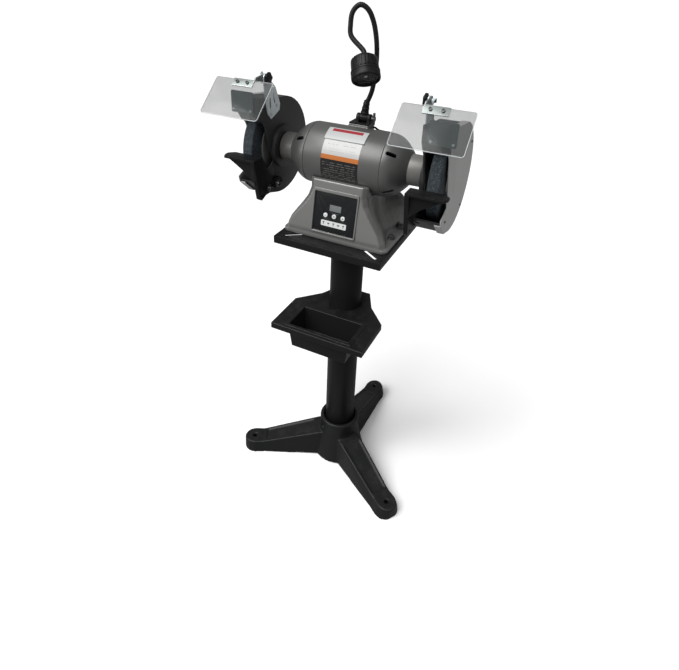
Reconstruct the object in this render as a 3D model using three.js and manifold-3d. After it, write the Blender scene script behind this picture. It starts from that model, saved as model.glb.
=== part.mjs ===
// Bench grinder with two guarded wheels, tilting eye shields and a gooseneck lamp, on a
// cast pedestal stand with a tool tray. Millimetres, +Z up, +X along the spindle, front at -Y.
import * as THREE from 'three';
import { mergeVertices } from 'three/addons/utils/BufferGeometryUtils.js';
import Module from 'manifold-3d';

const wasm = await Module();
wasm.setup();

// ---------- driving dimensions ----------
const GAP = 0.3;
const SHAFT_Z = 950.8;
const PLATE_TOP_Z = 772.4;
const SEAT = PLATE_TOP_Z - SHAFT_Z;
const LEG_ANGLES = [206.6, 326.6, 86.6];
const LEG_REACH = 292;
const PAD_HOLE_R = 262;
const HUB_R = 58;
const HUB_TOP = 138;
const COLUMN_R = 42.5;
const COLUMN_WALL = 3;
const COLUMN_FOOT = 40;
const PLATE = { x: 137, y: 132, sheet: 4, flange: 18.6 };
const TRAY_Z = 549;
const TRAY = { sheet: 3, flange: 16 };
const PAN = { x: 84, front: -160, back: -74, depth: 66, wall: 2 };
const MOTOR_R = 72;
const MOTOR_HALF = 93;
const NECK_R = 35;
const NECK_END = 177;
const WHEEL = { x: 223, r: 101.6, width: 25.4, bore: 8 };
const SPINDLE_R = 7.7;
const GUARD_R = 117;
const GUARD = { boss: 179, plate: 188, inside: 192.5, rim: 246.5, wall: 4 };
const COVER = { lip: 234, inside: 247.5, outside: 250, grow: 2.8 };
const HOOD = { front: -100, top: 130, bottom: 96 };
const PANE = { inner: 143.5, outer: 289.5, length: 96, thick: 3, tilt: 47, y: -105, z: 167 };
const PIVOT = { y: -71, z: 170, ear: 9.5, eye: 3.5 };
const CLAMP = { inner: 188.4, ear: 2.6, outer: 240, bottom: 19.5 };
const BRACKET_INNER = 184.6;
const KNOB = { from: 176, to: 182, r: 12.2, lobe: 1.3, lobes: 5, hub: 6, screw: 3.1 };
const REST = { top: 1, thick: 5, front: -143, back: -107, inner: 178, outer: 264 };
const REST_BOLTS = [-47, -84];
const REST_BOLT_Z = -83;
const REST_TRAVEL = 15;
const FOOT_BOLT_X = 120;
const FOOT_BOLT_Y = [-24, 40];
const PANEL = { width: 106, height: 94, topY: -80, topZ: 116, tilt: 10, depth: 4 };
const BUTTON = { r: 5.4, pitch: 22, up: 41, travel: 1 };
const LAMP = { y: 35, z: 88, neck: 5.5, headR: 31, headLength: 54 };
const LEAD_R = 2.5;

// ---------- materials ----------
function finish(color, roughness, metalness) {
  return new THREE.MeshStandardMaterial({ color, roughness, metalness });
}
const GREY_PAINT = finish(0x6f6f6d, 0.45, 0.35);
const COVER_PAINT = finish(0x9b9b99, 0.6, 0.2);
const BLACK_PAINT = finish(0x17191a, 0.45, 0.2);
const BLACK_PLASTIC = finish(0x1a1b1c, 0.5, 0);
const ZINC = finish(0xb9bfc4, 0.35, 0.9);
const DULL_ZINC = finish(0x7d8686, 0.5, 0.5);
const STEEL = finish(0x9a9da0, 0.35, 0.9);
const BLACK_STEEL = finish(0x222325, 0.4, 0.6);
const ABRASIVE = finish(0x3a4248, 0.95, 0);
const CLEAR = finish(0xd8e0e2, 0.08, 0);
const COPPER = finish(0x9c5a33, 0.5, 0.7);
const BOARD = finish(0x1f5a35, 0.6, 0);
const SILVER_BUTTON = finish(0xd6d8d8, 0.4, 0.1);

// ---------- solids ----------
function signedVolume(geometry) {
  const corners = geometry.index.array;
  const at = geometry.attributes.position;
  const [a, b, c] = [new THREE.Vector3(), new THREE.Vector3(), new THREE.Vector3()];
  let total = 0;
  for (let i = 0; i < corners.length; i += 3) {
    a.fromBufferAttribute(at, corners[i]);
    b.fromBufferAttribute(at, corners[i + 1]);
    c.fromBufferAttribute(at, corners[i + 2]);
    total += a.dot(b.cross(c)) / 6;
  }
  return total;
}

function closed(source) {
  const bare = source.clone();
  bare.deleteAttribute('normal');
  bare.deleteAttribute('uv');
  const merged = mergeVertices(bare, 1e-4);
  const index = [...merged.index.array];
  const kept = [];
  for (let i = 0; i < index.length; i += 3) {
    const [a, b, c] = [index[i], index[i + 1], index[i + 2]];
    if (a !== b && b !== c && c !== a) kept.push(a, b, c);
  }
  merged.setIndex(kept);
  if (signedVolume(merged) < 0) merged.setIndex(kept.reverse());
  return merged;
}

function manifold(geometry) {
  const solid = closed(geometry);
  return new wasm.Manifold(new wasm.Mesh({
    numProp: 3,
    vertProperties: new Float32Array(solid.attributes.position.array),
    triVerts: new Uint32Array(solid.index.array),
  }));
}

function surface(solid) {
  const mesh = solid.getMesh();
  const geometry = new THREE.BufferGeometry();
  geometry.setAttribute('position', new THREE.BufferAttribute(mesh.vertProperties, 3));
  geometry.setIndex([...mesh.triVerts]);
  return geometry;
}

function join(...parts) {
  return surface(parts.map(manifold).reduce((a, b) => a.add(b)));
}

function cut(part, ...tools) {
  return surface(tools.map(manifold).reduce((a, b) => a.subtract(b), manifold(part)));
}

// ---------- shape helpers ----------
const deg = THREE.MathUtils.degToRad;
const X = new THREE.Vector3(1, 0, 0);
const Y = new THREE.Vector3(0, 1, 0);
const Z = new THREE.Vector3(0, 0, 1);
const FACING_X = new THREE.Matrix4().makeBasis(Y, Z, X);
const FACING_Y = new THREE.Matrix4().makeBasis(X, Z, Y.clone().negate());
const SPUN_X = new THREE.Matrix4().makeBasis(Y, X, Z.clone().negate());
const SPUN_Y = new THREE.Matrix4().makeBasis(Z, Y, X.clone().negate());
const SPUN_Z = FACING_Y;

function moved(geometry, x, y, z) {
  return geometry.clone().translate(x, y, z);
}

function box(x0, x1, y0, y1, z0, z1) {
  const shape = new THREE.BoxGeometry(x1 - x0, y1 - y0, z1 - z0);
  return shape.translate((x0 + x1) / 2, (y0 + y1) / 2, (z0 + z1) / 2);
}

function outline(points) {
  return new THREE.Shape(points.map(([a, b]) => new THREE.Vector2(a, b)));
}

function slab(shape, depth) {
  const flat = Array.isArray(shape) ? outline(shape) : shape;
  return new THREE.ExtrudeGeometry(flat, { depth, bevelEnabled: false, curveSegments: 12 });
}

function slabX(shape, x0, x1) {
  return slab(shape, x1 - x0).applyMatrix4(FACING_X).translate(x0, 0, 0);
}

function slabY(shape, y0, y1) {
  return slab(shape, y1 - y0).applyMatrix4(FACING_Y).translate(0, y1, 0);
}

function slabZ(shape, z0, z1) {
  return slab(shape, z1 - z0).translate(0, 0, z0);
}

function turned(profile, sides, spin) {
  const points = profile.map(([r, h]) => new THREE.Vector2(r, h));
  return new THREE.LatheGeometry(points, sides).applyMatrix4(spin);
}

function ring(inner, outer, h0, h1, sides, spin) {
  return turned([[inner, h0], [outer, h0], [outer, h1], [inner, h1], [inner, h0]], sides, spin);
}

function rod(r, h0, h1, sides, spin) {
  return turned([[0, h0], [r, h0], [r, h1], [0, h1]], sides, spin);
}

function mirrored(geometry) {
  return closed(geometry.clone().scale(-1, 1, 1));
}

// Skins a row of equal rings of points, and closes both ends with flat fans.
function loft(rings) {
  const count = rings[0].length;
  const at = [];
  const faces = [];
  for (const points of rings) {
    for (const p of points) at.push(...p);
  }
  for (let i = 0; i + 1 < rings.length; i += 1) {
    for (let j = 0; j < count; j += 1) {
      const a = i * count + j;
      const b = i * count + ((j + 1) % count);
      faces.push(a, b, b + count, a, b + count, a + count);
    }
  }
  for (const [row, flip] of [[0, true], [rings.length - 1, false]]) {
    const middle = at.length / 3;
    const sum = [0, 1, 2].map((k) => rings[row].reduce((s, p) => s + p[k], 0) / count);
    at.push(...sum);
    for (let j = 0; j < count; j += 1) {
      const a = row * count + j;
      const b = row * count + ((j + 1) % count);
      faces.push(...(flip ? [middle, b, a] : [middle, a, b]));
    }
  }
  const geometry = new THREE.BufferGeometry();
  geometry.setAttribute('position', new THREE.Float32BufferAttribute(at, 3));
  geometry.setIndex(faces);
  return geometry;
}

function arc(cx, cy, r, from, to, steps) {
  return Array.from({ length: steps + 1 }, (_, i) => {
    const t = deg(from + ((to - from) * i) / steps);
    return [cx + r * Math.cos(t), cy + r * Math.sin(t)];
  });
}

function slot(x0, y0, x1, y1, r, steps) {
  const turn = (Math.atan2(y1 - y0, x1 - x0) * 180) / Math.PI;
  return [...arc(x0, y0, r, turn + 90, turn + 270, steps), ...arc(x1, y1, r, turn - 90, turn + 90, steps)];
}

function roundedRectangle(x, y, r) {
  return [
    ...arc(x - r, y - r, r, 0, 90, 5), ...arc(r - x, y - r, r, 90, 180, 5),
    ...arc(r - x, r - y, r, 180, 270, 5), ...arc(x - r, r - y, r, 270, 360, 5),
  ];
}

function hexagon(r) {
  return arc(0, 0, r, 0, 300, 5);
}

const object = new THREE.Group();
const stand = new THREE.Group();
const grinder = new THREE.Group();
grinder.position.z = SHAFT_Z;
object.add(stand, grinder);

function put(group, name, geometry, material) {
  const mesh = new THREE.Mesh(closed(geometry), material);
  mesh.name = name;
  group.add(mesh);
}

function pair(name, geometry, material) {
  put(grinder, `${name}_right`, geometry, material);
  put(grinder, `${name}_left`, mirrored(geometry), material);
}

// ---------- stand ----------
const LEG_STATIONS = [[0, 34], [62, 34], [235, 27], [262, 28], [278, 23.5], [287, 15], [LEG_REACH, 5]];
const LEG_DRAFT = 8;
const LEG_TOP = (r) => THREE.MathUtils.mapLinear(Math.min(Math.max(r, 62), 235), 62, 235, 86, 36);

function legSolid(stations, inset, floor, drop) {
  return loft(stations.map(([r, half]) => {
    const [low, high] = [half + LEG_DRAFT - inset, half - inset];
    const top = LEG_TOP(r) - drop;
    return [[r, -low, floor(r)], [r, low, floor(r)], [r, high, top], [r, -high, top]];
  }));
}

function standBase() {
  const skirt = [[47, 4], [78, 4], [72, 30], [64, 66], [HUB_R, 96], [HUB_R, 134], [55, HUB_TOP]];
  const bore = COLUMN_R + GAP;
  const socket = [[48, HUB_TOP], [bore, 128], [bore, COLUMN_FOOT], [36, COLUMN_FOOT], [36, 4], [47, 4]];
  let base = turned([...skirt, ...socket], 36, SPUN_Z);
  for (const angle of LEG_ANGLES) {
    const turn = deg(angle);
    const leg = legSolid(LEG_STATIONS, 0, (r) => (r > 232 && r <= LEG_REACH ? 0 : 4), 0);
    const hollow = legSolid([[70, 34], [228, 27]], 8, () => -1, 9);
    const panel = loft([[76, 33], [226, 27]].map(([r, half]) => {
      const [w, top] = [half - 6, LEG_TOP(r) - 4];
      return [[r, -w, top], [r, w, top], [r, w, top + 30], [r, -w, top + 30]];
    }));
    const hole = moved(rod(6.5, -5, 60, 16, SPUN_Z), PAD_HOLE_R, 0, 0);
    base = join(base, cut(leg, hollow, panel, hole).rotateZ(turn));
  }
  const well = rod(bore, COLUMN_FOOT, HUB_TOP + 30, 36, SPUN_Z);
  const drain = rod(36, -1, COLUMN_FOOT + 1, 36, SPUN_Z);
  const screwHole = rod(6.3, 30, 70, 16, SPUN_X).rotateZ(deg(235)).translate(0, 0, 108);
  return cut(base, well, drain, screwHole);
}

function standColumn() {
  const inner = COLUMN_R - COLUMN_WALL;
  const top = PLATE_TOP_Z - PLATE.sheet - GAP;
  const tube = ring(inner, COLUMN_R, COLUMN_FOOT + GAP, top, 36, SPUN_Z);
  const hole = rod(5.4, 30, 60, 16, SPUN_X).rotateZ(deg(222)).translate(0, 0, 742);
  return cut(tube, hole);
}

function columnBolt() {
  const bolt = join(rod(5, 31, 44, 16, SPUN_X), rod(11, COLUMN_R + GAP + 0.2, 53, 24, SPUN_X));
  return bolt.rotateZ(deg(222)).translate(0, 0, 742);
}

function topPlate() {
  const { x, y, sheet, flange } = PLATE;
  const low = PLATE_TOP_Z - flange;
  const shell = cut(box(-x, x, -y, y, low, PLATE_TOP_Z),
    box(sheet - x, x - sheet, sheet - y, y - sheet, low - 1, PLATE_TOP_Z - sheet));
  const spigotR = COLUMN_R - COLUMN_WALL - GAP;
  const spigot = ring(35, spigotR, 712, PLATE_TOP_Z - sheet + 1, 36, SPUN_Z);
  const tools = [rod(5.4, 30, 60, 16, SPUN_X).rotateZ(deg(222)).translate(0, 0, 742)];
  for (const side of [-1, 1]) {
    const front = slot(side * 84, -91, side * 117, -114, 4.5, 4);
    const back = slot(side * 96, 108, side * 120, 92, 4.5, 4);
    tools.push(slabZ(front, low, PLATE_TOP_Z + 1), slabZ(back, low, PLATE_TOP_Z + 1));
    for (const boltY of FOOT_BOLT_Y) {
      tools.push(moved(rod(4.6, low, PLATE_TOP_Z + 1, 10, SPUN_Z), side * FOOT_BOLT_X, boltY, 0));
    }
  }
  return cut(join(shell, spigot), ...tools);
}

const TRAY_OUTLINE = [
  [-125, -174], [125, -174], [125.5, -50], [74, 7], [44, 68], [-44, 68], [-74, 7], [-125.5, -50],
];

function toolTray() {
  const inner = TRAY_OUTLINE.map(([x, y]) => [x - Math.sign(x) * 3.2, y < 0 ? y + (y < -100 ? 3 : 1) : y - 3]);
  const low = TRAY_Z - TRAY.flange;
  const shell = cut(slabZ(TRAY_OUTLINE, low, TRAY_Z), slabZ(inner, low - 1, TRAY_Z - TRAY.sheet));
  const collar = ring(COLUMN_R + GAP, COLUMN_R + 5, TRAY_Z - 40, TRAY_Z - 1, 36, SPUN_Z);
  const well = box(-PAN.x - 0.5, PAN.x + 0.5, PAN.front - 0.5, PAN.back + 0.5, low - 5, TRAY_Z + 5);
  const hole = rod(COLUMN_R + GAP, 0, TRAY_Z + 9, 36, SPUN_Z);
  return cut(join(shell, collar), well, hole);
}

function panRing(x, front, back, z) {
  return [[-x, front, z], [x, front, z], [x, back, z], [-x, back, z]];
}

function waterPan() {
  const { x, front, back, depth, wall } = PAN;
  const lip = TRAY_Z + GAP;
  const taper = 9;
  const body = loft([panRing(x, front, back, lip + 1),
    panRing(x - taper, front + 3, back - 6, lip - depth)]);
  const rim = box(-x - 6, x + 6, front - 6, back + 6, lip, lip + 1.5);
  const hollow = loft([panRing(x - wall, front + wall, back - wall, lip + 3),
    panRing(x - taper - wall, front + 3 + wall, back - 6 - wall, lip - depth + wall)]);
  return cut(join(body, rim), hollow);
}

put(stand, 'stand_base', standBase(), BLACK_PAINT);
put(stand, 'stand_column', standColumn(), BLACK_PAINT);
put(stand, 'column_set_screw', rod(6, COLUMN_R + GAP, 54, 16, SPUN_X).rotateZ(deg(235))
  .translate(0, 0, 108), BLACK_STEEL);
put(stand, 'column_bolt', columnBolt(), BLACK_STEEL);
put(stand, 'top_plate', topPlate(), BLACK_PAINT);
put(stand, 'tool_tray', toolTray(), BLACK_PAINT);
put(stand, 'water_pan', waterPan(), BLACK_PAINT);

// ---------- pedestal ----------
// Each level: height above the seat, half depth, half width at the front, middle and back.
const PEDESTAL_LEVELS = [
  [9, 95, 131, 104, 133], [22, 95.5, 129, 99, 133], [41, 93, 121, 88, 132], [60, 90, 107, 79, 127],
  [78, 87, 93, 73, 116], [98, 83, 79, 70, 94], [118, 79, 72, 70, 77], [142, 75, 73, 73, 73],
];

function pedestalRing([up, depth, front, middle, back], inset) {
  const half = 7;
  const side = [];
  for (let i = 0; i <= half * 2; i += 1) {
    const t = i / (half * 2);
    const end = t < 0.5 ? front : back;
    const pinch = Math.sin(Math.PI * t) ** 1.6;
    const round = Math.min(1, Math.min(t, 1 - t) / 0.12);
    const corner = 12 * (1 - Math.sqrt(1 - (1 - round) ** 2));
    side.push([end + (middle - end) * pinch - corner - inset, (t * 2 - 1) * (depth - inset)]);
  }
  const right = side.map(([x, y]) => [x, y, SEAT + up]);
  const left = side.map(([x, y]) => [-x, y, SEAT + up]).reverse();
  return [...right, ...left];
}

function onPanel(geometry) {
  return geometry.rotateX(deg(-PANEL.tilt)).translate(0, PANEL.topY, SEAT + PANEL.topZ);
}

function pedestal() {
  const body = loft(PEDESTAL_LEVELS.map((level) => pedestalRing(level, 0)));
  const levels = PEDESTAL_LEVELS.slice(0, 6).map((level) => pedestalRing(level, 6));
  const mouth = pedestalRing([-2, 95, 131, 110, 133], 6);
  const flange = slabZ(roundedRectangle(134, 96, 16), SEAT + GAP, SEAT + 10);
  const saddle = rod(MOTOR_R + GAP, -200, 200, 48, SPUN_X);
  const { width, height, depth } = PANEL;
  const recess = onPanel(box(-width / 2, width / 2, -60, depth, -height, 0));
  const window = onPanel(box(-44, 44, 0, 40, -height + 12, -12));
  const inlet = moved(rod(8.6, 70, 120, 16, SPUN_Y), 62, 0, SEAT + 36);
  const bolts = [-1, 1].flatMap((side) => FOOT_BOLT_Y.map((y) => (
    moved(rod(4.6, SEAT - 5, SEAT + 40, 10, SPUN_Z), side * FOOT_BOLT_X, y, 0))));
  const pocket = [-1, 1].flatMap((side) => FOOT_BOLT_Y.map((y) => (
    moved(rod(11, SEAT + 10, SEAT + 90, 16, SPUN_Z), side * FOOT_BOLT_X, y, 0))));
  const shelf = slabZ(roundedRectangle(116, 84, 10), SEAT - 1, SEAT + 4);
  const hollow = loft([mouth, ...levels]);
  return cut(join(body, flange), hollow, saddle, recess, window, inlet, ...bolts, ...pocket, shelf);
}

function panelFace() {
  const { width, height, depth } = PANEL;
  const w = width / 2 - GAP;
  const face = box(-w, w, depth - 2.6, depth - GAP, -height + GAP, -GAP);
  const display = box(-16.5, 17.5, depth - 9, depth + 9, -44, -24);
  const holes = [-1, 0, 1].map((i) => (
    moved(rod(BUTTON.r + GAP, -9, 9, 16, SPUN_Y), i * BUTTON.pitch, 0, BUTTON.up - height)));
  return onPanel(cut(face, display, ...holes));
}

function panelButton(i) {
  const { depth, height } = PANEL;
  const cap = [[0, depth + 3], [BUTTON.r, depth + 3], [BUTTON.r, depth - 4.2], [BUTTON.r - 0.8, depth - 5],
    [0, depth - 5]];
  return onPanel(moved(turned(cap, 16, SPUN_Y), i * BUTTON.pitch, 0, BUTTON.up - height));
}

function footBolt(x, y) {
  const head = slabZ(hexagon(7.5), SEAT + 12.3, SEAT + 19);
  const washer = rod(9.5, SEAT + 10.3, SEAT + 12.5, 16, SPUN_Z);
  const shank = rod(4.2, SEAT - 16, SEAT + 13, 10, SPUN_Z);
  return moved(join(head, washer, shank), x, y, 0);
}

put(grinder, 'pedestal', pedestal(), GREY_PAINT);
put(grinder, 'bottom_cover', slabZ(roundedRectangle(115.6, 83.6, 9.7), SEAT + 1.2, SEAT + 3.6), BLACK_STEEL);
put(grinder, 'panel_face', panelFace(), BLACK_PLASTIC);
put(grinder, 'display_window', onPanel(box(-16.2, 17.2, 1.6, 3.6, -43.7, -24.3)), CLEAR);
put(grinder, 'minus_button', panelButton(-1), SILVER_BUTTON);
put(grinder, 'power_button', panelButton(0), SILVER_BUTTON);
put(grinder, 'plus_button', panelButton(1), SILVER_BUTTON);
put(grinder, 'control_board', onPanel(box(-40, 40, 12, 13.6, 18 - PANEL.height, -18)), BOARD);
[-1, 1].forEach((side) => FOOT_BOLT_Y.forEach((y, i) => {
  const name = `foot_bolt_${side < 0 ? 'left' : 'right'}_${i ? 'back' : 'front'}`;
  put(grinder, name, footBolt(side * FOOT_BOLT_X, y), BLACK_STEEL);
}));

function cordGland() {
  const profile = [[4, 86], [8.3, 86], [8.3, 97.5], [14, 97.5], [14, 104], [9.5, 106], [7, 122], [4, 122],
    [4, 86]];
  return moved(turned(profile, 16, SPUN_Y), 62, 0, SEAT + 36);
}
put(grinder, 'cord_gland', cordGland(), BLACK_PLASTIC);

// ---------- motor ----------
function motorShell() {
  const tube = ring(MOTOR_R - 5, MOTOR_R, -MOTOR_HALF, MOTOR_HALF, 48, SPUN_X);
  const base = [[-30, 14], [29, 14], [29, 56], [-30, 56]];
  const top = [[-21, 17], [26, 17], [26, 53], [-21, 53]];
  const boss = loft([base.map(([x, y]) => [x, y, 44]), top.map(([x, y]) => [x, y, 75])]);
  const inside = rod(MOTOR_R - 3, -90, 90, 48, SPUN_X);
  return join(tube, cut(boss, inside));
}

const VENT = { angles: [50, 130, 230, 310], from: 100, to: 122, half: 4.5 };

function endBell() {
  const dome = [[66, 93.3], [MOTOR_R, 93.3], [71.4, 99], [68.7, 107.5], [63.4, 117], [55.8, 126.5],
    [46.2, 136], [38.6, 142.8], [NECK_R + 0.4, 144.6], [NECK_R - 0.4, NECK_END]];
  const inside = [[12, NECK_END], [12, 172.8], [21.4, 172.8], [21.4, 156], [28, 138], [50, 120], [66, 93.3]];
  const bell = turned([...dome, ...inside], 36, SPUN_X);
  const vents = VENT.angles.map((a) => (
    box(VENT.from, VENT.to, -VENT.half, VENT.half, 40, 90).rotateX(deg(a))));
  return cut(bell, ...vents);
}

function spindleShaft() {
  const half = [[0, 246], [SPINDLE_R, 246], [SPINDLE_R, 194], [9.7, 194], [9.7, 140], [13.7, 140]];
  const whole = [...half.map(([r, x]) => [r, -x]), ...half.reverse()];
  return turned(whole, 20, SPUN_X);
}

put(grinder, 'motor_shell', motorShell(), GREY_PAINT);
pair('end_bell', endBell(), GREY_PAINT);
put(grinder, 'stator', ring(40.5, MOTOR_R - 5.6, -42, 42, 28, SPUN_X), COPPER);
put(grinder, 'rotor', ring(14.2, 40, -42, 42, 24, SPUN_X), STEEL);
put(grinder, 'spindle_shaft', spindleShaft(), STEEL);
pair('bearing', ring(10, 21, 158, 172, 20, SPUN_X), STEEL);

// ---------- wheels ----------
function grindingWheel() {
  const { x, r, width, bore } = WHEEL;
  const [a, b] = [x - width / 2, x + width / 2];
  return turned([[bore, a], [r - 1, a], [r, a + 1], [r, b - 1], [r - 1, b], [bore, b], [bore, a]], 40, SPUN_X);
}

function innerFlange() {
  const a = WHEEL.x - WHEEL.width / 2 - GAP;
  const profile = [[8, 196], [20, 196], [22, 203], [48, a - 3], [63, a - 3], [63, a], [8, a], [8, 196]];
  return turned(profile, 32, SPUN_X);
}

function outerFlange() {
  const a = WHEEL.x + WHEEL.width / 2 + GAP;
  return ring(8, 48, a, a + 2.8, 32, SPUN_X);
}

function spindleNut() {
  return cut(slabX(hexagon(13.5), 239.4, 245.2), rod(8, 230, 250, 24, SPUN_X));
}

pair('grinding_wheel', grindingWheel(), ABRASIVE);
pair('inner_flange', innerFlange(), STEEL);
pair('outer_flange', outerFlange(), STEEL);
pair('spindle_nut', spindleNut(), STEEL);

// ---------- guards ----------
// Outline seen along the spindle: round at the back, a hood over the top front, and an open front.
function guardOutline(grow) {
  const r = GUARD_R + grow;
  return [
    [HOOD.front, HOOD.top + grow], [-4, r], ...arc(0, 0, r, 84, -108, 24), [-62 - grow, -104 - grow],
    [-99 - grow, -71 - grow], [-103 - grow, -58.5], [-68, -43], [-43, -28], [-51, -9], [-66, 29], [-75, 61],
    [HOOD.front, HOOD.bottom],
  ];
}

function guardInside() {
  const r = GUARD_R - GUARD.wall;
  return [
    [HOOD.front + 4, HOOD.top - 5], [-6, r], ...arc(0, 0, r, 84, -108, 24), [-60, -99.5],
    [-95.5, -68.5], [-130, -52], [-130, 61], [-82, 70], [HOOD.front + 4, HOOD.bottom + 6],
  ];
}

function innerGuard() {
  const { boss, plate, inside, rim } = GUARD;
  const body = cut(slabX(guardOutline(0), plate, rim), slabX(guardInside(), inside, rim + 5));
  const hub = rod(52, boss, plate + 1, 32, SPUN_X);
  const passage = rod(23.5, boss - 5, rim, 20, SPUN_X);
  const bolts = REST_BOLTS.map((y) => moved(rod(4.3, 170, 200, 10, SPUN_X), 0, y, REST_BOLT_Z));
  return cut(join(body, hub), passage, ...bolts);
}

function guardCover() {
  const { lip, inside, outside, grow } = COVER;
  const shell = cut(slabX(guardOutline(grow), lip, outside), slabX(guardOutline(GAP + 0.3), lip - 5, inside));
  const frontMargin = box(lip - 5, inside, -140, -30, -64, HOOD.bottom + 28);
  const flapMargin = box(lip - 5, inside, HOOD.front - 14, HOOD.front + 1, -200, 200);
  return cut(shell, frontMargin, flapMargin);
}

const ARRESTOR = { inner: 201, outer: 258, bottom: 94, top: 142, thick: 3, corner: 3 };

function sparkArrestor() {
  const { inner, outer, bottom, top, thick, corner } = ARRESTOR;
  const back = HOOD.front - GAP - 0.1;
  return slabY(roundedShape(inner, outer, bottom, top, corner), back - thick, back);
}

function roundedShape(x0, x1, y0, y1, r) {
  return roundedRectangle((x1 - x0) / 2, (y1 - y0) / 2, r)
    .map(([x, y]) => [x + (x0 + x1) / 2, y + (y0 + y1) / 2]);
}

function toolRest() {
  const { top, thick, front, back, inner, outer } = REST;
  const under = top - thick + 1;
  const table = [[inner, back], [outer - 12, back], [outer, back - 12], [outer, front + 12], [outer - 6, front],
    [inner, front]];
  const plate = slabZ(table, top - thick, top);
  const arm = [[front, under], [-139, -24], [-133, -48], [-128, -74], [-123, -98], [-114, -104], [-105, -100],
    [-96, -96], [-29, -96], [-21, -88], [-21, -76], [-31, -70], [-66, -68], [-74, -56], [-93, -20],
    [back, under]];
  const web = [[inner + 4, under], [outer - 4, under], [outer - 26, -16], [outer - 52, -32], [inner + 4, -60]];
  const slots = REST_BOLTS.map((y) => (
    slabX(slot(y, REST_BOLT_Z, y + REST_TRAVEL, REST_BOLT_Z, 4.6, 8), 160, 200)));
  const tipHole = moved(rod(3.2, 160, 200, 16, SPUN_X), 0, -114, -92);
  const solid = join(plate, slabX(arm, inner, GUARD.plate - GAP), slabY(web, front + 10, front + 17));
  return cut(solid, ...slots, tipHole);
}

function restBolt() {
  const y = REST_BOLTS[0];
  const washer = rod(9, REST.inner - 2, REST.inner - GAP, 20, SPUN_X);
  const head = cut(rod(6.8, REST.inner - 9, REST.inner - 1, 20, SPUN_X), slabX(hexagon(3.4), 160, 173));
  const shank = rod(4, REST.inner - 3, 192, 16, SPUN_X);
  return moved(join(washer, head, shank), 0, y, REST_BOLT_Z);
}

pair('inner_guard', innerGuard(), BLACK_PAINT);
pair('guard_cover', guardCover(), COVER_PAINT);
pair('spark_arrestor', sparkArrestor(), DULL_ZINC);
pair('tool_rest', toolRest(), BLACK_PAINT);
pair('rest_bolt', restBolt(), BLACK_STEEL);

// ---------- eye shields ----------
// Pane space: local x along the spindle, y down the pane from its top edge, z out of its front face.
const PANE_SPACE = new THREE.Matrix4().makeBasis(
  X,
  new THREE.Vector3(0, -Math.sin(deg(PANE.tilt)), -Math.cos(deg(PANE.tilt))),
  new THREE.Vector3(0, Math.cos(deg(PANE.tilt)), -Math.sin(deg(PANE.tilt))),
).setPosition(0, PANE.y, PANE.z);
const BAR = { front: -PANE.thick - 3.1, back: -PANE.thick - GAP, top: 0.5 };

function shieldPane() {
  const { inner, outer, length, thick } = PANE;
  return slabZ(roundedShape(inner, outer, 0, length, 6), -thick, 0).applyMatrix4(PANE_SPACE);
}

// A point of the clamp's arm, from pane space to the plane across the spindle.
function across(down, out) {
  const at = new THREE.Vector3(0, down, out).applyMatrix4(PANE_SPACE);
  return [at.y, at.z];
}

function shieldClamp() {
  const { inner, ear, outer, bottom } = CLAMP;
  const bar = box(inner, outer, BAR.top, bottom, BAR.front, BAR.back).applyMatrix4(PANE_SPACE);
  const arm = [across(14, BAR.front), across(14, BAR.back), across(-0.6, BAR.back), across(-0.6, 1),
    ...arc(PIVOT.y, PIVOT.z, PIVOT.ear, -120, 80, 10), across(-6, BAR.front), across(BAR.top, BAR.front)];
  const eye = moved(rod(PIVOT.eye, inner - 9, inner + 9, 16, SPUN_X), 0, PIVOT.y, PIVOT.z);
  return cut(join(bar, slabX(arm, inner, inner + ear)), eye);
}

// Bolted to the guard's plate: the arm that carries the shield's pivot, with its slots and holes.
function shieldBracket() {
  const plate = [[-67, 90], [-54, 76], [-18, 90], [-15, 104], [-23, 123], [-33, 145],
    ...arc(PIVOT.y, PIVOT.z, PIVOT.ear, 0, 190, 10), [-77, 138], [-74, 116]];
  const holes = [
    slot(-57, 103, -57, 121, 3, 6), slot(-38, 112, -43, 130, 2.6, 6),
    arc(-53, 87, 3.4, 0, 330, 11), arc(-30, 103, 3.4, 0, 330, 11), arc(PIVOT.y, PIVOT.z, PIVOT.eye, 0, 330, 11),
    arc(-43, 148, 2.6, 0, 330, 11),
  ];
  const tools = holes.map((hole) => slabX(hole, BRACKET_INNER - 5, GUARD.plate + 5));
  return cut(slabX(plate, BRACKET_INNER, GUARD.plate - GAP), ...tools);
}

function shieldKnob() {
  const { from, to, r, lobe, lobes, hub, screw } = KNOB;
  const corners = lobes * 6;
  const rim = Array.from({ length: corners }, (_, i) => {
    const t = (i / corners) * 2 * Math.PI;
    const reach = r + lobe * Math.cos(lobes * t);
    return [reach * Math.cos(t), reach * Math.sin(t)];
  });
  const boss = rod(hub, from - 1.2, BRACKET_INNER - GAP, 20, SPUN_X);
  const head = join(slabX(rim, from, to), boss, rod(screw, to, CLAMP.inner + 11, 10, SPUN_X));
  return moved(head, 0, PIVOT.y, PIVOT.z);
}

pair('shield_pane', shieldPane(), CLEAR);
pair('shield_clamp', shieldClamp(), ZINC);
pair('shield_bracket', shieldBracket(), ZINC);
pair('shield_knob', shieldKnob(), BLACK_PLASTIC);

// ---------- lamp ----------
const HEAD_AXIS = new THREE.Vector3(0.37, -0.513, -0.775).normalize();
const HEAD_BACK = new THREE.Vector3(18, -9, 227);
const NECK_ROUTE = [[9, 35, 96], [12, 35, 118], [24, 35, 152], [30, 33, 200], [30, 30, 245], [23, 26, 286],
  [11, 20, 314], [-6, 14, 324], [-20, 9, 309], [-22, 5, 284], [-17, 2, 262]];

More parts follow.
